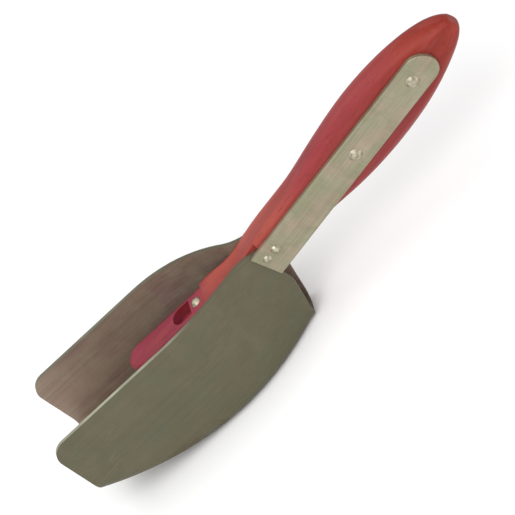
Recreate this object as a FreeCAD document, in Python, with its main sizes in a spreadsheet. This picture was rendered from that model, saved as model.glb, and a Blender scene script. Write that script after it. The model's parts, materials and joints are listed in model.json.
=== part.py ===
import FreeCAD, Part
import math
import os
import re
import Sketcher

# Hand trowel: a pressed steel trough blade, a red hardwood handle whose tongue runs forward
# inside the blade, and two flat straps that clamp the blade's neck tabs to the handle.
#
# Design frame of the parts (millimetres): X runs from the mouth of the blade (0) to the butt of
# the handle, Y to the user's right, Z up, with Z = 0 at the lip of the mouth.  The handle has a
# frame of its own, tilted up about the neck: "along" it and "off" it.  Every sub-part's Placement
# then moves it to the row frame, whose origin is under the middle of the trowel, on the ground.

Vector = FreeCAD.Vector
doc = FreeCAD.newDocument("HandTrowel")

SIZES = {
    # blade, seen from above
    "wall": 2.0,                # thickness of the steel sheet
    "blade_half": 27.4,         # half the width of the mouth, outside
    "taper_start": 78.0,        # where the walls begin to close in
    "taper_radius": 100.0,
    "neck_radius": 24.0,
    "neck_half": 8.5,           # half the width over the two neck tabs
    # blade, seen from the side
    "mouth_corner": 10.0,       # rounding of the walls' upper front corners
    "rim_top": 41.0,            # height of the walls above the lip
    "shoulder_start": 74.0,     # where the rim begins to drop to the neck
    "shoulder_end": 149.0,
    "floor_depth": 22.9,        # depth of the floor below the lip
    "floor_start": 80.0,        # where the belly's curve meets the flat floor
    "floor_end": 136.0,
    "heel_along": 146.0,        # upright rear edge of the walls, under the tabs
    "heel_height": 3.5,
    "bend": 7.0,                # outer radius of the bend between floor and walls
    "tab_end": 160.0,
    "tab_half": 8.2,            # half the height of a neck tab
    # handle
    "tilt": 10.4,               # degrees that the handle rises
    "neck_along": 146.0,        # a point of the handle's axis, at the neck
    "neck_height": 22.9,
    "core_seat": 6.5,           # half thickness of the wood between the neck tabs
    "seat_start": 134.0,        # where the wood is cut back to let the tabs in
    "core_half": 8.5,           # half thickness of the wood elsewhere
    "seat_slack": 0.4,          # gap in the wood round a tab
    "tongue_tip": 54.0,
    "tongue_step": 109.0,       # where the neck steps down to the tongue
    "tongue_half": 8.2,
    "tongue_top": 29.0,
    "tongue_base": 15.5,
    "tongue_edge": 2.5,
    "butt_edge": 2.4,
    "recess_start": 86.5,
    "recess_end": 98.4,
    "recess_half": 5.2,
    "recess_depth": 6.0,
    # straps
    "strap_start": -1.5,
    "strap_end": 146.0,
    "strap_half": 9.5,
    "strap_thick": 2.5,
    "strap_edge": 0.6,
    # rivets: places along and off the handle's axis
    "front_rivet": 78.0,
    "rear_rivet": 129.0,
    "neck_rivet_one": 3.2,
    "neck_rivet_two": 10.2,
    "neck_rivet_off": 2.7,
    "tongue_rivet_along": 102.6,
    "grip_shank": 2.4,
    "grip_head": 3.7,
    "neck_shank": 1.5,
    "neck_head": 2.4,
    "tongue_shank": 2.0,
    "tongue_head": 2.9,
    "rivet_slack": 0.05,        # radial room round a shank
    "burr_thick": 1.0,
    # stay bridge under the tongue
    "bridge_length": 14.0,
    "bridge_thick": 2.5,
    # row frame
    "row_middle": 154.41,       # half the trowel's length
}

# Sections of the wood along the tilted handle: distance from the neck, top and bottom (both
# from the handle's axis), half thickness, corner radius.
SECTION_SIZES = ("along", "top", "bottom", "half", "corner")
GRIP_SECTIONS = [
    (4.0, 12.8, -10.4, 8.5, 4.2),
    (22.0, 13.6, -10.6, 8.5, 4.8),
    (42.0, 14.0, -13.2, 8.5, 5.4),
    (58.0, 16.1, -17.1, 8.5, 6.5),
    (78.0, 18.4, -20.1, 8.5, 7.2),
    (98.0, 19.5, -21.0, 8.5, 7.5),
    (118.0, 18.3, -19.9, 8.5, 7.2),
    (136.0, 15.2, -17.0, 8.5, 7.0),
    (150.0, 10.8, -13.4, 8.1, 6.5),
    (159.5, 5.8, -10.0, 6.6, 5.4),
    (164.5, 0.8, -6.4, 3.6, 2.8),
]

# Upright sections of the wood in the blade's neck: distance from the mouth, then the same sizes
# measured from the lip of the mouth.
NECK_SECTIONS = [
    (109.0, 31.2, 15.5, 8.5, 3.0),
    (127.0, 31.2, 15.5, 8.5, 3.4),
]

for family, sections in (("grip", GRIP_SECTIONS), ("neck", NECK_SECTIONS)):
    for number, section in enumerate(sections, start=1):
        for size_name, size in zip(SECTION_SIZES, section):
            SIZES[f"{family}{number}_{size_name}"] = size


def make_sheet():
    """The driving dimensions: one row each, a name beside its value."""
    sheet = doc.addObject("Spreadsheet::Sheet", "Sizes")
    for row, (alias, value) in enumerate(SIZES.items(), start=1):
        sheet.set(f"A{row}", alias)
        sheet.set(f"B{row}", str(value))
        sheet.setAlias(f"B{row}", alias)
    doc.recompute()
    return sheet


SHEET = make_sheet()


def bound(text):
    """Put the sheet's name before every size in an expression."""
    return re.sub(r"[a-z][a-z0-9_]*",
                  lambda word: "Sizes." + word[0] if word[0] in SIZES else word[0], text)


def value_of(text):
    """The number that an expression of sizes comes to now."""
    return float(SHEET.evalExpression(bound(text)))


def bind(target, **expressions):
    for prop, text in expressions.items():
        target.setExpression(prop, bound(text))


# --- sketch helpers ---------------------------------------------------------------------------

def new_body(label):
    body = doc.addObject("PartDesign::Body", label)
    body.Label = label
    doc.recompute()
    return body


def new_sketch(body, name, role, up="0", across="0", out="0", lean="0"):
    """A sketch on one of the body's origin planes, moved and leant about its own X axis."""
    sketch = body.newObject("Sketcher::SketchObject", name)
    plane = next(item for item in body.Origin.OriginFeatures if item.Role == role)
    sketch.AttachmentSupport = [(plane, "")]
    sketch.MapMode = "FlatFace"
    if lean != "0":
        sketch.AttachmentOffset = FreeCAD.Placement(Vector(), FreeCAD.Rotation(Vector(1, 0, 0), 1))
        sketch.setExpression("AttachmentOffset.Rotation.Angle", bound(lean))
    for axis, text in (("x", across), ("y", up), ("z", out)):
        if text != "0":
            sketch.setExpression("AttachmentOffset.Base." + axis, bound(text))
    return sketch


def arc_between(start, end, radius, turn):
    """An arc of under half a circle from start to end; turn is 1 anticlockwise, -1 clockwise."""
    chord = end - start
    rise = math.sqrt(max(radius ** 2 - (chord.Length / 2) ** 2, 0.0))
    side = Vector(-chord.y, chord.x, 0).normalize()
    centre = start + chord / 2 + side * rise * turn
    first, last = (start, end) if turn > 0 else (end, start)
    angles = [math.atan2(point.y - centre.y, point.x - centre.x) for point in (first, last)]
    circle = Part.Circle(centre, Vector(0, 0, 1), radius)
    return Part.ArcOfCircle(circle, angles[0], angles[1])


def draw(sketch, corners):
    """Add a closed outline.  A corner is (across, up) where a line leaves it, or
    (across, up, radius, turn) where an arc does; every size is an expression."""
    places = [Vector(value_of(corner[0]), value_of(corner[1]), 0) for corner in corners]
    ends = []
    for index, corner in enumerate(corners):
        start, end = places[index], places[(index + 1) % len(places)]
        if len(corner) == 2:
            geometry = sketch.addGeometry(Part.LineSegment(start, end), False)
            ends.append((geometry, 1, 2))
        else:
            radius, turn = corner[2], corner[3]
            curve = arc_between(start, end, value_of(radius), turn)
            geometry = sketch.addGeometry(curve, False)
            ends.append((geometry, 1, 2) if turn > 0 else (geometry, 2, 1))
            rule = Sketcher.Constraint("Radius", geometry, value_of(radius))
            sketch.setExpression(f"Constraints[{sketch.addConstraint(rule)}]", bound(radius))
    for index, corner in enumerate(corners):
        geometry, first, _ = ends[index]
        before, _, last = ends[index - 1]
        sketch.addConstraint(Sketcher.Constraint("Coincident", before, last, geometry, first))
        for kind, text in (("DistanceX", corner[0]), ("DistanceY", corner[1])):
            rule = Sketcher.Constraint(kind, geometry, first, value_of(text))
            sketch.setExpression(f"Constraints[{sketch.addConstraint(rule)}]", bound(text))


def draw_circle(sketch, across, up, radius):
    centre = Vector(value_of(across), value_of(up), 0)
    circle = Part.Circle(centre, Vector(0, 0, 1), value_of(radius))
    geometry = sketch.addGeometry(circle, False)
    rules = (("Radius", (geometry,), radius),
             ("DistanceX", (geometry, 3), across),
             ("DistanceY", (geometry, 3), up))
    for kind, where, text in rules:
        rule = Sketcher.Constraint(kind, *where, value_of(text))
        sketch.setExpression(f"Constraints[{sketch.addConstraint(rule)}]", bound(text))


# --- feature helpers --------------------------------------------------------------------------

def add_pad(body, sketch, length, symmetric=False, reverse=False):
    pad = body.newObject("PartDesign::Pad", sketch.Name + "_pad")
    pad.Profile = sketch
    pad.SideType = "Symmetric" if symmetric else "One side"
    pad.Reversed = reverse
    bind(pad, Length=length)
    doc.recompute()
    return pad


def add_pocket(body, sketch, depth=None, reverse=False):
    """Cut the sketch out of the body: right through both ways, or to a depth."""
    before = body.Shape.Volume
    pocket = body.newObject("PartDesign::Pocket", sketch.Name + "_pocket")
    pocket.Profile = sketch
    if depth is None:
        pocket.SideType = "Symmetric"
        pocket.Type = "ThroughAll"
    else:
        pocket.Reversed = reverse
        bind(pocket, Length=depth)
    doc.recompute()
    if body.Shape.Volume > before - 1e-3:
        raise RuntimeError(sketch.Name + " cuts nothing")
    return pocket


def add_fillet(body, radius, wanted):
    """Round the edges whose middle point passes the test."""
    base = body.Tip
    names = []
    for number, edge in enumerate(base.Shape.Edges, start=1):
        middle = edge.valueAt((edge.FirstParameter + edge.LastParameter) / 2)
        if wanted(middle):
            names.append(f"Edge{number}")
    fillet = body.newObject("PartDesign::Fillet", base.Name + "_round")
    fillet.Base = (base, names)
    bind(fillet, Radius=radius)
    doc.recompute()
    if "Invalid" in fillet.State:
        raise RuntimeError(fillet.Name + " can't be rounded")
    return fillet


def place(target, along="0", side="0", height="0"):
    """Put a piece that is drawn in the design frame into the row frame."""
    target.setExpression("Placement.Base.x", bound(f"{along} - row_middle"))
    target.setExpression("Placement.Base.y", bound(side))
    target.setExpression("Placement.Base.z", bound(f"{height} + floor_depth"))


def on_handle(along, off="0"):
    """Design-frame X and Z of a point given along and off the handle's axis."""
    return (f"(neck_along + ({along}) * cos(tilt) - ({off}) * sin(tilt))",
            f"(neck_height + ({along}) * sin(tilt) + ({off}) * cos(tilt))")


# --- blade ------------------------------------------------------------------------------------

TURN_COS = "(1 - (blade_half - neck_half) / (taper_radius + neck_radius))"
TURN_SIN = f"sqrt(1 - {TURN_COS}^2)"
BELLY_RADIUS = "((floor_start^2 + floor_depth^2) / (2 * floor_depth))"
OVERRUN = 6.0                   # how far cutting shapes pass the faces they open


def tab_edge(along, side):
    """Height of a neck tab's edge, parallel to the handle's axis; side is 1 above, -1 below."""
    return f"(neck_height + ({along} - neck_along) * tan(tilt) + {side} * tab_half / cos(tilt))"


def wall_side():
    """Side outline of the blade: belly, floor, heel, neck tab, rim and mouth."""
    tab_top = tab_edge("shoulder_end", 1)
    drop = f"(rim_top - {tab_top})"
    run = "(shoulder_end - shoulder_start)"
    return [
        ("0", "0", BELLY_RADIUS, 1),
        ("floor_start", "-floor_depth"),
        ("floor_end", "-floor_depth"),
        ("heel_along", "heel_height"),
        ("heel_along", tab_edge("heel_along", -1)),
        ("tab_end", tab_edge("tab_end", -1)),
        ("tab_end", tab_edge("tab_end", 1)),
        ("shoulder_end", tab_top, f"(({run}^2 + {drop}^2) / (2 * {drop}))", 1),
        ("shoulder_start", "rim_top"),
        ("mouth_corner", "rim_top", "mouth_corner", 1),
        ("0", "rim_top - mouth_corner"),
    ]


def hollow_side():
    """Side outline of the hollow: the inside of belly and floor, open at mouth, top and heel."""
    inner_radius = f"({BELLY_RADIUS} - wall)"
    middle_height = f"({BELLY_RADIUS} - floor_depth)"
    start_height = f"({middle_height} - sqrt({inner_radius}^2 - (floor_start + {OVERRUN})^2))"
    return [
        (f"-{OVERRUN}", start_height, inner_radius, 1),
        ("floor_start", "wall - floor_depth"),
        (f"floor_end + {OVERRUN / 2}", "wall - floor_depth"),
        (f"heel_along + {OVERRUN / 2}", "heel_height"),
        (f"tab_end + {OVERRUN}", "heel_height"),
        (f"tab_end + {OVERRUN}", f"rim_top + {OVERRUN}"),
        (f"-{OVERRUN}", f"rim_top + {OVERRUN}"),
    ]


def flank(side, inset):
    """Plan outline of the waste outside one wall: straight, then two tangent arcs to the neck."""
    first, last = f"-{2 * OVERRUN}", f"tab_end + {2 * OVERRUN}"
    edge = f"{side} * (blade_half + {OVERRUN})"
    return [
        (first, f"{side} * (blade_half - {inset})"),
        ("taper_start", f"{side} * (blade_half - {inset})", f"(taper_radius - {inset})", -side),
        (f"taper_start + (taper_radius - {inset}) * {TURN_SIN}",
         f"{side} * (blade_half - taper_radius + (taper_radius - {inset}) * {TURN_COS})",
         f"(neck_radius + {inset})", side),
        (f"taper_start + (taper_radius + neck_radius) * {TURN_SIN}",
         f"{side} * (neck_half - {inset})"),
        (last, f"{side} * (neck_half - {inset})"),
        (last, edge),
        (first, edge),
    ]


def trough_form(label, side_outline, inset):
    """One skin of the trough as a solid block, with the bend along its lower edges."""
    body = new_body(label)
    side = new_sketch(body, label + "_side", "XZ_Plane")
    draw(side, side_outline)
    add_pad(body, side, f"2 * (blade_half + {OVERRUN / 2})", symmetric=True)
    plan = new_sketch(body, label + "_plan", "XY_Plane")
    for hand in (1, -1):
        draw(plan, flank(hand, inset))
    add_pocket(body, plan)

    floor = value_of(f"{inset} - floor_depth")
    flat = value_of("floor_start")

    def along_the_bend(point):
        return point.x > flat and abs(point.z - floor) < 0.01 and abs(point.y) > 2.0

    add_fillet(body, f"bend - {inset}", lambda point: along_the_bend(point)
               and point.x < value_of("floor_end") - 1.0)
    return body


def make_blade():
    outside = trough_form("blade_outside", wall_side(), "0")
    hollow = trough_form("blade_hollow", hollow_side(), "wall")
    blade = doc.addObject("Part::Cut", "blade")
    blade.Label = "blade"
    blade.Base = outside
    blade.Tool = hollow
    place(blade)
    doc.recompute()
    return blade, hollow


# --- handle -----------------------------------------------------------------------------------

# Rivets through the handle: along the axis, off the axis, shank.
CROSS_RIVETS = {
    "grip_rivet_front": ("front_rivet", "0", "grip_shank"),
    "grip_rivet_rear": ("rear_rivet", "0", "grip_shank"),
    "neck_rivet_front": ("neck_rivet_one", "neck_rivet_off", "neck_shank"),
    "neck_rivet_rear": ("neck_rivet_two", "neck_rivet_off", "neck_shank"),
}


def rounded_section(sketch, name):
    """A rounded rectangle: flat sides for the straps, rounded top and bottom."""
    top, bottom = f"{name}_top", f"{name}_bottom"
    half, corner = f"{name}_half", f"{name}_corner"
    inner = f"({half} - {corner})"
    draw(sketch, [
        (half, f"{bottom} + {corner}"),
        (half, f"{top} - {corner}", corner, 1),
        (inner, top),
        (f"-{inner}", top, corner, 1),
        (f"-{half}", f"{top} - {corner}"),
        (f"-{half}", f"{bottom} + {corner}", corner, 1),
        (f"-{inner}", bottom),
        (inner, bottom, corner, 1),
    ])


def grip_loft(body):
    """The neck and the grip in one smooth run of sections."""
    sections = []
    for number in range(1, len(NECK_SECTIONS) + 1):
        name = f"neck{number}"
        sketch = new_sketch(body, name + "_section", "YZ_Plane", out=name + "_along")
        rounded_section(sketch, name)
        sections.append(sketch)
    for number in range(1, len(GRIP_SECTIONS) + 1):
        name = f"grip{number}"
        across, height = on_handle(name + "_along")
        sketch = new_sketch(body, name + "_section", "YZ_Plane",
                            up=height, out=across, lean="-tilt")
        rounded_section(sketch, name)
        sections.append(sketch)
    loft = body.newObject("PartDesign::AdditiveLoft", "grip_loft")
    loft.Profile = sections[0]
    loft.Sections = sections[1:]
    loft.Ruled = False
    doc.recompute()


def cut_seats(body):
    """Cut the wood's sides back: full height beside the walls, then only behind each tab."""
    walls = new_sketch(body, "wall_seats", "XY_Plane")
    for hand in (1, -1):
        near, far = f"{hand} * core_seat", f"{hand} * (core_half + {OVERRUN})"
        first, last = "seat_start", "shoulder_end + seat_slack"
        draw(walls, [(first, near), (last, near), (last, far), (first, far)])
    add_pocket(body, walls)

    first, last = "shoulder_end", "(tab_end + seat_slack)"
    for name, hand in (("left_seat", -1), ("right_seat", 1)):
        seat = new_sketch(body, name, "XZ_Plane", out=f"{-hand} * core_seat")
        draw(seat, [
            (first, f"{tab_edge(first, -1)} - seat_slack"),
            (last, f"{tab_edge(last, -1)} - seat_slack"),
            (last, f"{tab_edge(last, 1)} + seat_slack"),
            (first, f"{tab_edge(first, 1)} + seat_slack"),
        ])
        add_pocket(body, seat, f"core_half - core_seat + {OVERRUN}", reverse=hand < 0)


def make_handle():
    body = new_body("handle")
    grip_loft(body)

    tongue = new_sketch(body, "tongue_plan", "XY_Plane", out="tongue_base")
    overlap = "tongue_step + 4"
    draw(tongue, [
        ("tongue_tip", "0", "tongue_half", 1),
        ("tongue_tip + tongue_half", "-tongue_half"),
        (overlap, "-tongue_half"),
        (overlap, "tongue_half"),
        ("tongue_tip + tongue_half", "tongue_half", "tongue_half", 1),
    ])
    add_pad(body, tongue, "tongue_top - tongue_base")

    cut_seats(body)

    butt = SIZES[f"grip{len(GRIP_SECTIONS)}_along"]
    tilt = math.radians(value_of("tilt"))
    neck = Vector(value_of("neck_along"), 0, value_of("neck_height"))
    axis = Vector(math.cos(tilt), 0, math.sin(tilt))
    add_fillet(body, "butt_edge", lambda point: abs((point - neck).dot(axis) - butt) < 0.01)

    top = value_of("tongue_top")
    step = value_of("tongue_step")
    add_fillet(body, "tongue_edge",
               lambda point: abs(point.z - top) < 0.01 and point.x < step - 0.5)

    recess = new_sketch(body, "tongue_recess", "XY_Plane", out="tongue_top")
    draw(recess, [
        ("recess_start", "0", "recess_half", 1),
        ("recess_start + recess_half", "-recess_half"),
        ("recess_end", "-recess_half"),
        ("recess_end", "recess_half"),
        ("recess_start + recess_half", "recess_half", "recess_half", 1),
    ])
    add_pocket(body, recess, "recess_depth")

    crossing = new_sketch(body, "cross_holes", "XZ_Plane")
    for along, off, shank in CROSS_RIVETS.values():
        draw_circle(crossing, *on_handle(along, off), f"{shank} + rivet_slack")
    add_pocket(body, crossing)
    upright = new_sketch(body, "tongue_hole", "XY_Plane")
    draw_circle(upright, "tongue_rivet_along", "0", "tongue_shank + rivet_slack")
    add_pocket(body, upright)
    place(body)
    return body


# --- straps -----------------------------------------------------------------------------------

def make_strap(label, hand):
    """A flat bar with one round end, drawn along its own X axis and laid on the handle."""
    body = new_body(label)
    outline = new_sketch(body, label + "_outline", "XZ_Plane")
    draw(outline, [
        ("strap_start", "-strap_half"),
        ("strap_end - strap_half", "-strap_half", "strap_half", 1),
        ("strap_end", "0", "strap_half", 1),
        ("strap_end - strap_half", "strap_half"),
        ("strap_start", "strap_half"),
    ])
    add_pad(body, outline, "strap_thick", reverse=hand > 0)
    outer = hand * value_of("strap_thick")
    add_fillet(body, "strap_edge", lambda point: abs(point.y - outer) < 0.01)
    holes = new_sketch(body, label + "_holes", "XZ_Plane")
    for along, off, shank in CROSS_RIVETS.values():
        draw_circle(holes, along, off, f"{shank} + rivet_slack")
    add_pocket(body, holes)
    body.Placement = FreeCAD.Placement(Vector(), FreeCAD.Rotation(Vector(0, 1, 0), -1))
    body.setExpression("Placement.Rotation.Angle", bound("-tilt"))
    place(body, "neck_along", f"{hand} * core_half", "neck_height")
    return body


# --- neck tabs' holes, bridge -----------------------------------------------------------------

def drill_blade(blade):
    """Drill the two neck rivets' holes through both tabs."""
    drills = new_body("tab_drills")
    sketch = new_sketch(drills, "tab_holes", "XZ_Plane")
    for along, off, shank in CROSS_RIVETS.values():
        if shank == "neck_shank":
            draw_circle(sketch, *on_handle(along, off), f"{shank} + rivet_slack")
    add_pad(drills, sketch, f"2 * (neck_half + {OVERRUN})", symmetric=True)
    place(drills)
    drilled = doc.addObject("Part::Cut", "drilled_blade")
    blade.Label = "blade_blank"
    drilled.Label = "blade"
    drilled.Base = blade
    drilled.Tool = drills
    doc.recompute()
    return drilled


def make_bridge(hollow):
    """A flat stay under the tongue, its ends shaped to the walls that it is welded to."""
    bar = new_body("bridge_bar")
    plan = new_sketch(bar, "bridge_plan", "XY_Plane", out="tongue_base - bridge_thick")
    first = "tongue_rivet_along - bridge_length / 2"
    last = "tongue_rivet_along + bridge_length / 2"
    draw(plan, [(first, "-blade_half"), (last, "-blade_half"),
                (last, "blade_half"), (first, "blade_half")])
    add_pad(bar, plan, "bridge_thick")
    hole = new_sketch(bar, "bridge_hole", "XY_Plane")
    draw_circle(hole, "tongue_rivet_along", "0", "tongue_shank + rivet_slack")
    add_pocket(bar, hole)
    bridge = doc.addObject("Part::Common", "stay_bridge")
    bridge.Label = "stay_bridge"
    bridge.Base = hollow
    bridge.Tool = bar
    place(bridge)
    doc.recompute()
    return bridge


# --- rivets and burrs -------------------------------------------------------------------------

def spin(body, sketch):
    """Turn a half profile about the sketch's upright axis."""
    turned = body.newObject("PartDesign::Revolution", sketch.Name + "_turned")
    turned.Profile = sketch
    turned.ReferenceAxis = (sketch, ["V_Axis"])
    doc.recompute()
    return turned


def dome_radius(half, height):
    return f"((({half})^2 + ({height})^2) / (2 * ({height})))"


def make_rivet(label, shank, head, grip):
    """A domed rivet standing on its closed end: tail, shank and head."""
    body = new_body(label)
    profile = new_sketch(body, label + "_profile", "XZ_Plane")
    head_height = f"({head} * 0.5)"
    tail, tail_height = f"({shank} * 1.3)", f"({shank} * 0.55)"
    draw(profile, [
        ("0", f"-{tail_height}", dome_radius(tail, tail_height), 1),
        (tail, "0"),
        (shank, "0"),
        (shank, grip),
        (head, grip, dome_radius(head, head_height), 1),
        ("0", f"({grip} + {head_height})"),
    ])
    spin(body, profile)
    return body


def make_burr(label, shank):
    """The washer under a rivet's closed end."""
    body = new_body(label)
    profile = new_sketch(body, label + "_profile", "XZ_Plane")
    inner, outer = f"({shank} + rivet_slack)", f"({shank} * 1.9)"
    draw(profile, [(inner, "0"), (outer, "0"), (outer, "burr_thick"), (inner, "burr_thick")])
    spin(body, profile)
    return body


def lay_across(body, along, off, side):
    """Turn a piece's upright axis to the left and put it on the handle."""
    body.Placement = FreeCAD.Placement(Vector(), FreeCAD.Rotation(Vector(1, 0, 0), 90))
    across, height = on_handle(along, off)
    place(body, across, side, height)


def make_fasteners():
    pieces = []
    outside = "(core_half + strap_thick)"
    for label, (along, off, shank) in CROSS_RIVETS.items():
        head = shank.replace("shank", "head")
        rivet = make_rivet(label, shank, head, f"(2 * {outside} + burr_thick)")
        lay_across(rivet, along, off, f"{outside} + burr_thick")
        burr = make_burr(label.replace("rivet", "burr"), shank)
        lay_across(burr, along, off, f"{outside} + burr_thick")
        pieces += [rivet, burr]
    stack = "(tongue_top - tongue_base + bridge_thick + burr_thick)"
    rivet = make_rivet("tongue_rivet", "tongue_shank", "tongue_head", stack)
    burr = make_burr("tongue_burr", "tongue_shank")
    for piece in (rivet, burr):
        place(piece, "tongue_rivet_along", "0", "tongue_base - bridge_thick - burr_thick")
        pieces.append(piece)
    return pieces


# --- assembly and files -----------------------------------------------------------------------

def main():
    blank, hollow = make_blade()
    blade = drill_blade(blank)
    parts = [make_handle(), blade, make_bridge(hollow)]
    parts += [make_strap("left_strap", -1), make_strap("right_strap", 1)]
    parts += make_fasteners()
    doc.recompute()

    for item in doc.Objects:
        if "Invalid" in item.State or "Error" in item.State:
            raise RuntimeError(f"{item.Label}: {item.State}")
    os.makedirs("parts", exist_ok=True)
    whole = FreeCAD.BoundBox()
    for part in parts:
        shape = part.Shape
        if shape.isNull() or not shape.isValid() or len(shape.Solids) != 1:
            raise RuntimeError(f"{part.Label} is not one valid solid")
        whole.add(shape.optimalBoundingBox(False))
        print(f"{part.Label}: {shape.Volume:.0f} mm3")
        shape.exportStep(f"parts/{part.Label}.step")
    print(f"whole: X {whole.XMin:.2f} {whole.XMax:.2f}  Y {whole.YMin:.2f} {whole.YMax:.2f}"
          f"  Z {whole.ZMin:.2f} {whole.ZMax:.2f}")


main()
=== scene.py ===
import json
import math

import bpy
from mathutils import Matrix, Vector


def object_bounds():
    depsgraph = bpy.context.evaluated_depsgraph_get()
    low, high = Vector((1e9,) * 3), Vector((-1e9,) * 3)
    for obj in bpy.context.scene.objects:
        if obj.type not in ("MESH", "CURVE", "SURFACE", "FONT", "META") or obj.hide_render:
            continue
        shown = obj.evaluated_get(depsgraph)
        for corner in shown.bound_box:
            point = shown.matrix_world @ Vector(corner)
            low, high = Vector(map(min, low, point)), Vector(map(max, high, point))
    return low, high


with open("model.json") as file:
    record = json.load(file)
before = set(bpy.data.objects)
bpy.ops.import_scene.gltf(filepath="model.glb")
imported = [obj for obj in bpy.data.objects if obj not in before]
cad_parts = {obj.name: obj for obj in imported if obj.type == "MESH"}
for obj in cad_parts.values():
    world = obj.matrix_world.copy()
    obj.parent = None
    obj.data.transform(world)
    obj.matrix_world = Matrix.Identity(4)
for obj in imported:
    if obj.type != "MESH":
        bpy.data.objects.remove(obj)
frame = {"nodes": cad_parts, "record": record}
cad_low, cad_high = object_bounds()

# The trowel lies along X: mouth of the blade at low X, butt of the handle at high X, Z up.
# Lengths are metres and colours are screen values, 0 to 255.

MM = 0.001
TILT = math.radians(10.4)       # the handle and its straps rise towards the butt

# Places along the trowel where a finish or a painted light changes, from the frame's origin
MOUTH = cad_low.x
WORN_LENGTH = 50 * MM           # the blade is most scratched this near the mouth
# painted highlight on the rims: it fades out from RIM_BRIGHT to RIM_DULL along the length, and from the
# left wall to the right over RIM_MIDDLE
RIM_BRIGHT, RIM_DULL = -85 * MM, -45 * MM
RIM_LOW, RIM_HIGH = 30 * MM, 34 * MM
RIM_MIDDLE = 4 * MM             # half the width over which the left rim turns to the right
# faces looking into the trough turn to the painted light between these
INWARD_DULL, INWARD_FULL = -1 * MM, -6 * MM
SOIL_LOW, SOIL_HIGH = 4 * MM, 20 * MM
# the tongue's painted shade gives way to the neck's painted light between TONGUE_BACK and NECK_FRONT
TONGUE_BACK, NECK_FRONT = -55 * MM, -35 * MM
NECK_BACK, GRIP_FRONT = 5 * MM, 45 * MM
GRIP_BACK, BUTT_FRONT = 90 * MM, 145 * MM

EDGE_ROUNDING = 0.45 * MM
EDGE_ANGLE = math.radians(40.0)

# Camera: a long way off, so that the view is almost parallel
CAMERA_AZIMUTH, CAMERA_ELEVATION, CAMERA_ROLL = map(math.radians, (24.2, 34.1, 56.8))
CAMERA_DISTANCE, VIEW_WIDTH = 12.0, 0.2574
AIM_LEFT, AIM_DOWN = 11.2 * MM, 6.7 * MM
SENSOR_WIDTH = 36.0

# Studio: name, place, size and power of each round lamp, and the surroundings' strength
LAMPS = (
    ("key", (0.15, -1.10, 1.20), 1.6, 16.0),
    ("overhead", (-0.35, 0.15, 1.4), 1.4, 5.0),
)
SURROUNDINGS = 0.72
FLOOR_HALF = 6.0


# --- node helpers -----------------------------------------------------------------------------

class Recipe:
    """One material's node tree, with short calls for the nodes that the recipes use."""

    def __init__(self, name):
        self.material = bpy.data.materials.new(name)
        self.material.use_nodes = True
        self.tree = self.material.node_tree
        self.shader = self.tree.nodes["Principled BSDF"]
        self.place = self.add("ShaderNodeTexCoord").outputs["Object"]

    def add(self, kind, **values):
        node = self.tree.nodes.new(kind)
        for key, value in values.items():
            setattr(node, key, value)
        return node

    def join(self, source, target):
        """Feed a socket from another socket or from a plain value."""
        if isinstance(source, bpy.types.NodeSocket):
            self.tree.links.new(source, target)
        else:
            target.default_value = source

    def fixed(self, **values):
        """Numbers that are the same all over the surface, on the shader's own sockets."""
        for key, value in values.items():
            self.shader.inputs[key.replace("_", " ")].default_value = value

    def mapped(self, stretch, turn=0.0, shift=(0.0, 0.0, 0.0)):
        """Object coordinates turned about Y and stretched, one figure per axis."""
        turned = self.add("ShaderNodeMapping")
        turned.inputs["Location"].default_value = shift
        turned.inputs["Rotation"].default_value = (0.0, turn, 0.0)
        stretched = self.add("ShaderNodeMapping")
        stretched.inputs["Scale"].default_value = stretch
        self.join(self.place, turned.inputs["Vector"])
        self.join(turned.outputs["Vector"], stretched.inputs["Vector"])
        return stretched.outputs["Vector"]

    def noise(self, stretch, detail=4.0, rough=0.55, turn=0.0, shift=(0.0, 0.0, 0.0), warp=0.0):
        """Cloudy noise; stretch is its coarseness per axis, in cells per metre."""
        node = self.add("ShaderNodeTexNoise")
        node.inputs["Scale"].default_value = 1.0
        node.inputs["Detail"].default_value = detail
        node.inputs["Roughness"].default_value = rough
        node.inputs["Distortion"].default_value = warp
        self.join(self.mapped(stretch, turn, shift), node.inputs["Vector"])
        return node.outputs["Fac"]

    def cells(self, stretch):
        node = self.add("ShaderNodeTexVoronoi")
        node.inputs["Scale"].default_value = 1.0
        self.join(self.mapped(stretch), node.inputs["Vector"])
        return node.outputs["Distance"]

    def ramp(self, source, low, high, start=0.0, end=1.0):
        """Map low..high of the source to start..end, smoothly and clamped."""
        node = self.add("ShaderNodeMapRange", interpolation_type="SMOOTHSTEP")
        node.inputs["From Min"].default_value = low
        node.inputs["From Max"].default_value = high
        node.inputs["To Min"].default_value = start
        node.inputs["To Max"].default_value = end
        self.join(source, node.inputs["Value"])
        return node.outputs["Result"]

    def math(self, operation, first, second):
        node = self.add("ShaderNodeMath", operation=operation)
        self.join(first, node.inputs[0])
        self.join(second, node.inputs[1])
        return node.outputs[0]

    def blend(self, share, first, second, mode="MIX"):
        """Mix two colours; share is a number or a socket."""
        node = self.add("ShaderNodeMix", data_type="RGBA", blend_type=mode)
        self.join(share, node.inputs["Factor"])
        for value, socket in ((first, node.inputs["A"]), (second, node.inputs["B"])):
            self.join(colour(value) if isinstance(value, tuple) else value, socket)
        return node.outputs["Result"]

    def along(self, axis):
        """The place along one axis of the trowel."""
        node = self.add("ShaderNodeSeparateXYZ")
        self.join(self.place, node.inputs["Vector"])
        return node.outputs[axis]

    def bump(self, *layers):
        """Stack bumps, each (height, strength, depth in metres)."""
        normal = None
        for height, strength, depth in layers:
            node = self.add("ShaderNodeBump")
            node.inputs["Strength"].default_value = strength
            node.inputs["Distance"].default_value = depth
            self.join(height, node.inputs["Height"])
            if normal is not None:
                self.join(normal, node.inputs["Normal"])
            normal = node.outputs["Normal"]
        self.join(normal, self.shader.inputs["Normal"])


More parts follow.
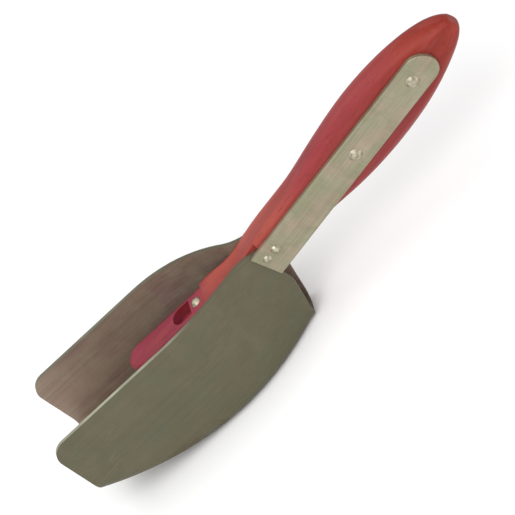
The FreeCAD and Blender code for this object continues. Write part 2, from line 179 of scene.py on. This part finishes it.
def linear(channel):
    return channel / 12.92 if channel <= 0.04045 else ((channel + 0.055) / 1.055) ** 2.4


def colour(rgb):
    """Screen colour, 0 to 255, as a linear colour with alpha."""
    return tuple(linear(part / 255.0) for part in rgb) + (1.0,)


# --- materials --------------------------------------------------------------------------------

def blade_steel():
    """Dull pressed steel, darker outside and painted lighter on the faces inside the trough and facing
    up, as painted light, with fine scratches.
    """
    recipe = Recipe("blade_steel")
    streak = recipe.noise((14.0, 520.0, 520.0), detail=5.0)
    cloud = recipe.noise((38.0, 38.0, 38.0), detail=7.0, rough=0.6, warp=0.6)
    patch = recipe.noise((60.0, 60.0, 110.0), detail=3.0, shift=(0.7, 0.3, 0.1))
    speck = recipe.noise((1500.0, 1500.0, 1500.0), detail=3.0, rough=0.7)
    scratch = recipe.noise((60.0, 2600.0, 2600.0), turn=math.radians(14.0), detail=2.0)
    cross_scratch = recipe.noise((45.0, 2100.0, 2100.0), turn=math.radians(-31.0), detail=2.0,
                                 shift=(0.3, 0.1, 0.2))

    outside = recipe.blend(recipe.ramp(cloud, 0.38, 0.64), (94, 90, 70), (101, 96, 76))
    outside = recipe.blend(recipe.ramp(patch, 0.50, 0.70, 0.0, 0.5), outside, (90, 92, 74))
    # painted light: a much lighter copy of the steel for the faces inside the trough and facing up
    inside = recipe.blend(recipe.ramp(cloud, 0.38, 0.64), (148, 128, 112), (156, 140, 122))
    inside = recipe.blend(recipe.ramp(patch, 0.46, 0.66, 0.0, 0.7), inside, (146, 118, 110))
    tone = recipe.blend(painted_light_faces(recipe), outside, inside)
    # painted highlight on the top edges of the walls
    tone = recipe.blend(rim_face(recipe), tone, rim_tone(recipe, cloud))
    tone = recipe.blend(recipe.ramp(streak, 0.42, 0.66, 0.0, 0.22), tone, (80, 77, 60))
    tone = recipe.blend(recipe.ramp(speck, 0.55, 0.75, 0.0, 0.25), tone, (68, 62, 50))

    worn = recipe.ramp(recipe.along("X"), MOUTH + WORN_LENGTH, MOUTH, 0.10, 0.45)
    lines = recipe.math("MAXIMUM", recipe.ramp(scratch, 0.66, 0.72),
                        recipe.ramp(cross_scratch, 0.68, 0.74))
    lines = recipe.math("MULTIPLY", lines, worn)
    tone = recipe.blend(lines, tone, (150, 146, 126))
    soil = recipe.math("MULTIPLY", recipe.ramp(cloud, 0.5, 0.62),
                       recipe.ramp(recipe.along("Z"), SOIL_HIGH, SOIL_LOW, 0.0, 0.45))
    tone = recipe.blend(soil, tone, (84, 68, 50))
    recipe.join(tone, recipe.shader.inputs["Base Color"])

    gloss = recipe.math("ADD", recipe.ramp(cloud, 0.3, 0.7, 0.46, 0.56),
                        recipe.ramp(speck, 0.3, 0.7, -0.03, 0.06))
    gloss = recipe.math("ADD", gloss, recipe.math("MULTIPLY", soil, 0.4))
    recipe.join(gloss, recipe.shader.inputs["Roughness"])
    recipe.bump((streak, 0.20, 0.00010), (speck, 0.25, 0.00005), (lines, 0.2, -0.00005))
    recipe.fixed(Metallic=0.35, Specular_IOR_Level=0.35)
    return recipe.material


def facing(recipe, axis):
    """How far a face looks along an axis, from -1 to 1."""
    parts = recipe.add("ShaderNodeSeparateXYZ")
    recipe.join(recipe.add("ShaderNodeTexCoord").outputs["Normal"], parts.inputs["Vector"])
    return parts.outputs[axis]


def painted_light_faces(recipe):
    """1 on the faces that look into the trough and on those that look up, 0 on those that look out of
    it; these faces get the blade's painted light.
    """
    inward = recipe.math("MULTIPLY", recipe.along("Y"), facing(recipe, "Y"))
    return recipe.math("MAXIMUM", recipe.ramp(inward, INWARD_DULL, INWARD_FULL),
                       recipe.ramp(facing(recipe, "Z"), 0.3, 0.7))


def rim_face(recipe):
    """1 on the sheared top edge of the walls, well above the floor."""
    return recipe.math("MULTIPLY", recipe.ramp(facing(recipe, "Z"), 0.5, 0.8),
                       recipe.ramp(recipe.along("Z"), RIM_LOW, RIM_HIGH))


def rim_tone(recipe, cloud):
    """Sheared edges: a painted highlight along the front half of the walls, full on the left wall and
    weaker on the right, dull behind.
    """
    rim_highlight = recipe.blend(recipe.ramp(cloud, 0.38, 0.64), (146, 146, 126), (172, 174, 154))
    front = recipe.ramp(recipe.along("X"), RIM_DULL, RIM_BRIGHT)
    left = recipe.ramp(recipe.along("Y"), RIM_MIDDLE, -RIM_MIDDLE, 0.25, 1.0)
    return recipe.blend(recipe.math("MULTIPLY", front, left), (92, 88, 70), rim_highlight)


def edge_steel_highlight():
    """The corners of the blade's edges, with the rims' painted highlight over fine grinding."""
    recipe = Recipe("edge_steel_highlight")
    grind = recipe.noise((2400.0, 300.0, 900.0), detail=4.0)
    cloud = recipe.noise((90.0, 90.0, 90.0), detail=6.0)
    tone = recipe.blend(recipe.ramp(grind, 0.4, 0.7, 0.0, 0.35), rim_tone(recipe, cloud), (104, 101, 84))
    recipe.join(tone, recipe.shader.inputs["Base Color"])
    recipe.join(recipe.ramp(grind, 0.3, 0.7, 0.34, 0.48), recipe.shader.inputs["Roughness"])
    recipe.bump((grind, 0.3, 0.00008))
    recipe.fixed(Metallic=0.6)
    return recipe.material


def strap_metal():
    """Flat bar, brushed along its length, with faint warm and green tints and small pits."""
    recipe = Recipe("strap_metal")
    brush = recipe.noise((16.0, 900.0, 1500.0), turn=TILT, detail=5.0, rough=0.65)
    across = recipe.noise((1300.0, 900.0, 60.0), turn=TILT, detail=3.0, shift=(0.2, 0.0, 0.1))
    cloud = recipe.noise((55.0, 55.0, 55.0), detail=6.0, warp=0.5)
    tint = recipe.noise((75.0, 75.0, 75.0), detail=3.0, shift=(0.4, 0.0, 0.6))
    pit = recipe.noise((900.0, 900.0, 900.0), detail=3.0, rough=0.7)

    tone = recipe.blend(recipe.ramp(cloud, 0.35, 0.66), (140, 136, 110), (162, 152, 132))
    tone = recipe.blend(recipe.ramp(tint, 0.44, 0.60, 0.0, 0.42), tone, (138, 144, 112))
    tone = recipe.blend(recipe.ramp(tint, 0.52, 0.36, 0.0, 0.36), tone, (172, 146, 130))
    tone = recipe.blend(recipe.ramp(brush, 0.40, 0.64, 0.0, 0.40), tone, (118, 112, 90))
    tone = recipe.blend(recipe.ramp(across, 0.50, 0.68, 0.0, 0.22), tone, (168, 160, 142))
    tone = recipe.blend(recipe.ramp(pit, 0.62, 0.76, 0.0, 0.5), tone, (88, 82, 66))
    recipe.join(tone, recipe.shader.inputs["Base Color"])
    gloss = recipe.math("ADD", recipe.ramp(brush, 0.3, 0.7, 0.30, 0.44),
                        recipe.ramp(cloud, 0.3, 0.7, 0.0, 0.07))
    recipe.join(gloss, recipe.shader.inputs["Roughness"])
    recipe.bump((brush, 0.35, 0.00009), (across, 0.2, 0.00006), (pit, 0.25, 0.00005))
    recipe.fixed(Metallic=0.6)
    return recipe.material


def rivet_metal():
    """Pale rivets with hammer marks and a little grime round the marks."""
    recipe = Recipe("rivet_metal")
    dents = recipe.cells((520.0, 520.0, 520.0))
    cloud = recipe.noise((420.0, 420.0, 420.0), detail=4.0)
    fine = recipe.noise((2600.0, 2600.0, 2600.0), detail=3.0)
    tone = recipe.blend(recipe.ramp(cloud, 0.35, 0.65), (168, 160, 138), (196, 189, 168))
    tone = recipe.blend(recipe.ramp(dents, 0.46, 0.7, 0.0, 0.5), tone, (112, 102, 82))
    recipe.join(tone, recipe.shader.inputs["Base Color"])
    recipe.join(recipe.ramp(cloud, 0.3, 0.7, 0.30, 0.42), recipe.shader.inputs["Roughness"])
    recipe.bump((dents, 0.22, 0.00020), (fine, 0.2, 0.00004))
    recipe.fixed(Metallic=0.8)
    return recipe.material


def handle_wood():
    """Red lacquer over close-grained hardwood, with painted shade and reflection making the tongue cool,
    painted light making the neck orange, an orange butt, and painted shade on the faces turned to either
    side.
    """
    recipe = Recipe("handle_wood")
    grain = recipe.noise((9.0, 230.0, 230.0), turn=TILT, detail=6.0, rough=0.62, warp=0.25)
    rings = recipe.noise((3.0, 70.0, 70.0), turn=TILT, detail=3.0, warp=0.8)
    pores = recipe.noise((120.0, 1900.0, 1900.0), turn=TILT, detail=2.0)
    cloud = recipe.noise((26.0, 26.0, 26.0), detail=5.0)
    peel = recipe.noise((480.0, 480.0, 480.0), detail=2.0)
    rub = recipe.noise((70.0, 420.0, 420.0), turn=TILT, detail=5.0, shift=(0.5, 0.2, 0.0))

    length = recipe.along("X")
    # painted shade and reflection of the walls make the tongue cool and dark, painted light makes the
    # neck orange; the butt is simply more orange
    tone = recipe.blend(recipe.ramp(length, TONGUE_BACK, NECK_FRONT), (136, 46, 64), (160, 72, 60))
    tone = recipe.blend(recipe.ramp(length, NECK_BACK, GRIP_FRONT), tone, (140, 48, 52))
    tone = recipe.blend(recipe.ramp(length, GRIP_BACK, BUTT_FRONT), tone, (142, 42, 22))
    across = facing(recipe, "Y")
    # painted shade: faces turned to the near side, along the near strap, darker brownish red
    tone = recipe.blend(recipe.ramp(across, -0.75, -0.98, 0.0, 0.45), tone, (128, 40, 28))
    # painted shade: faces turned to the far side, darker purple
    tone = recipe.blend(recipe.ramp(across, 0.05, 0.75, 0.0, 0.60), tone, (92, 26, 46))
    tone = recipe.blend(recipe.ramp(rings, 0.40, 0.62, 0.0, 0.34), tone, (108, 26, 32))
    tone = recipe.blend(recipe.ramp(grain, 0.44, 0.66, 0.0, 0.36), tone, (158, 68, 62))
    tone = recipe.blend(recipe.ramp(cloud, 0.52, 0.70, 0.0, 0.30), tone, (116, 34, 38))
    tone = recipe.blend(recipe.ramp(pores, 0.62, 0.72, 0.0, 0.55), tone, (74, 16, 20))
    tone = recipe.blend(recipe.ramp(rub, 0.64, 0.74, 0.0, 0.25), tone, (160, 86, 76))
    recipe.join(tone, recipe.shader.inputs["Base Color"])
    gloss = recipe.math("ADD", recipe.ramp(cloud, 0.3, 0.7, 0.42, 0.54),
                        recipe.ramp(rub, 0.6, 0.75, 0.0, 0.12))
    recipe.join(gloss, recipe.shader.inputs["Roughness"])
    recipe.bump((grain, 0.25, 0.00012), (pores, 0.30, -0.00006), (peel, 0.12, 0.00006))
    recipe.fixed(Coat_Weight=0.08, Coat_Roughness=0.25, Specular_IOR_Level=0.22)
    return recipe.material


def floor_finish():
    """A plain, nearly white studio floor."""
    recipe = Recipe("floor_finish")
    cloud = recipe.noise((3.0, 3.0, 3.0), detail=3.0)
    recipe.join(recipe.blend(recipe.ramp(cloud, 0.3, 0.7), (246, 246, 246), (249, 249, 249)),
                recipe.shader.inputs["Base Color"])
    recipe.fixed(Roughness=0.9, Specular_IOR_Level=0.1)
    return recipe.material


# --- carried-over nodes -----------------------------------------------------------------------

def dress_nodes():
    """Give every node the finish of its slot in the record."""
    finishes = {
        "blade_steel": [blade_steel(), edge_steel_highlight()],
        "strap_metal": [strap_metal()],
        "rivet_metal": [rivet_metal()],
        "handle_wood": [handle_wood()],
    }
    for row in frame["record"]["subparts"]:
        mesh = frame["nodes"][row["node"]].data
        mesh.materials.clear()
        for material in finishes[row["material_slot"]]:
            mesh.materials.append(material)


def soften_blade():
    """Take the sharp edges off the blade, inside its own outline, with the second finish, which carries
    the rims' painted highlight.
    """
    bevel = frame["nodes"]["blade"].modifiers.new("soft_edges", "BEVEL")
    bevel.width = EDGE_ROUNDING
    bevel.segments = 2
    bevel.limit_method = "ANGLE"
    bevel.angle_limit = EDGE_ANGLE
    bevel.material = 1


# --- stage, light and camera ------------------------------------------------------------------

def make_floor():
    mesh = bpy.data.meshes.new("floor")
    turns = ((-1, -1), (1, -1), (1, 1), (-1, 1))
    corners = [(x * FLOOR_HALF, y * FLOOR_HALF, 0.0) for x, y in turns]
    mesh.from_pydata(corners, [], [(0, 1, 2, 3)])
    mesh.materials.append(floor_finish())
    floor = bpy.data.objects.new("floor", mesh)
    bpy.context.scene.collection.objects.link(floor)


def make_lamp(name, place, size, power):
    """A round soft lamp that looks at the frame's origin."""
    light = bpy.data.lights.new(name, "AREA")
    light.shape = "DISK"
    light.size = size
    light.energy = power
    lamp = bpy.data.objects.new(name, light)
    lamp.location = place
    lamp.rotation_mode = "QUATERNION"
    lamp.rotation_quaternion = (-Vector(place)).to_track_quat("-Z", "Y")
    bpy.context.scene.collection.objects.link(lamp)


def light_scene():
    world = bpy.data.worlds.new("studio")
    world.use_nodes = True
    background = world.node_tree.nodes["Background"]
    background.inputs["Color"].default_value = (1.0, 1.0, 1.0, 1.0)
    background.inputs["Strength"].default_value = SURROUNDINGS
    bpy.context.scene.world = world
    for lamp in LAMPS:
        make_lamp(*lamp)
    bpy.context.scene.view_settings.view_transform = "Standard"


def make_camera():
    """Look from the left and above, rolled so that the handle points up to the right."""
    level = math.cos(CAMERA_ELEVATION)
    back = Vector((math.sin(CAMERA_AZIMUTH) * level,
                   -math.cos(CAMERA_AZIMUTH) * level,
                   math.sin(CAMERA_ELEVATION)))
    right = Vector((math.cos(CAMERA_AZIMUTH), math.sin(CAMERA_AZIMUTH), 0.0))
    above = back.cross(right)
    rolled_right = right * math.cos(CAMERA_ROLL) - above * math.sin(CAMERA_ROLL)
    rolled_above = right * math.sin(CAMERA_ROLL) + above * math.cos(CAMERA_ROLL)
    aim = (cad_low + cad_high) / 2 - rolled_right * AIM_LEFT - rolled_above * AIM_DOWN

    camera = bpy.data.cameras.new("camera")
    camera.sensor_width = SENSOR_WIDTH
    camera.lens = SENSOR_WIDTH * CAMERA_DISTANCE / VIEW_WIDTH
    camera.clip_start, camera.clip_end = 0.1, 40.0
    rig = bpy.data.objects.new("camera", camera)
    turn = Matrix((rolled_right, rolled_above, back)).transposed()
    rig.matrix_world = Matrix.Translation(aim + back * CAMERA_DISTANCE) @ turn.to_4x4()
    bpy.context.scene.collection.objects.link(rig)
    bpy.context.scene.camera = rig


make_camera()
light_scene()
make_floor()
dress_nodes()
soften_blade()
